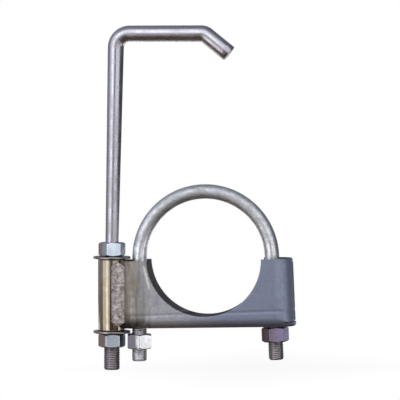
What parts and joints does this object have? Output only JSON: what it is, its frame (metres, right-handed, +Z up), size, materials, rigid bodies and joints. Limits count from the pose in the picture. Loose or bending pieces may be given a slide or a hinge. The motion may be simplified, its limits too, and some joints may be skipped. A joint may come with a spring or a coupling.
{
  "type": "exhaust hanger",
  "caption": "Exhaust hanger: U-bolt pipe clamp with a folded saddle, and a tube welded to its end that carries a bent hook rod held by nuts and washers.",
  "frame": {"origin": "centre of the clamped pipe, in the middle of the saddle's width", "axes": "+Y along the pipe, +Z up from the saddle's base towards the hook, +X away from the welded tube"},
  "size_m": [0.1214, 0.0256, 0.2048],
  "materials": {
    "sheet_steel": "mill-finished pressed sheet steel, slightly stained",
    "gold_zinc": "yellow zinc plate",
    "bright_zinc": "clear zinc plate",
    "dull_zinc": "dulled zinc plate",
    "bar_steel": "drawn and bent bar, zinc plated",
    "rod_steel": "drawn bar, zinc plated",
    "weld_metal": "rough weld bead"
  },
  "bodies": {
    "saddle": {"saddle": "sheet_steel", "hanger_tube": "gold_zinc", "weld_bead_front": "weld_metal", "weld_bead_rear": "weld_metal"},
    "u_bolt": {"u_bolt": "bar_steel"},
    "left_nut": {"u_bolt_nut_left": "bright_zinc"},
    "right_nut": {"u_bolt_nut_right": "dull_zinc"},
    "washers": {"upper_washer": "gold_zinc", "lower_washer": "gold_zinc"},
    "upper_nut": {"upper_rod_nut": "bright_zinc"},
    "lower_nut": {"lower_rod_nut": "bright_zinc"},
    "hook_rod": {"hook_rod": "rod_steel"}
  },
  "joints": [
    {"name": "left_nut_turn", "type": "hinge", "parent": "saddle", "child": "left_nut", "pos_m": [-0.03954, 0, 0], "axis": [0.0227, 0, 0.9997], "range_deg": [-2080, 2760]},
    {"name": "right_nut_turn", "type": "hinge", "parent": "saddle", "child": "right_nut", "pos_m": [0.03954, 0, 0], "axis": [-0.0227, 0, 0.9997], "range_deg": [-2080, 2760]},
    {"name": "u_bolt_slide", "type": "slide", "parent": "saddle", "child": "u_bolt", "axis": [0, 0, 1], "range_m": [-0.008, 0.006]},
    {"name": "hook_swivel", "type": "hinge", "parent": "saddle", "child": "washers", "pos_m": [-0.05613, 0, 0], "axis": [0.0227, 0, 0.9997], "continuous": true},
    {"name": "upper_nut_turn", "type": "hinge", "parent": "washers", "child": "upper_nut", "pos_m": [-0.05613, 0, 0], "axis": [0.0227, 0, 0.9997], "range_deg": [-4120, 40]},
    {"name": "lower_nut_turn", "type": "hinge", "parent": "washers", "child": "lower_nut", "pos_m": [-0.05613, 0, 0], "axis": [0.0227, 0, 0.9997], "range_deg": [-4120, 40]},
    {"name": "hook_height", "type": "slide", "parent": "washers", "child": "hook_rod", "axis": [0.0227, 0, 0.9997], "range_m": [0, 0.012]}
  ],
  "couplings": [
    {"joint": "left_nut_turn", "follows": "u_bolt_slide", "rad_per_m": -5936.8},
    {"joint": "right_nut_turn", "follows": "u_bolt_slide", "rad_per_m": -5936.8},
    {"joint": "upper_nut_turn", "follows": "hook_height", "rad_per_m": -5936.8},
    {"joint": "lower_nut_turn", "follows": "hook_height", "rad_per_m": -5936.8}
  ]
}
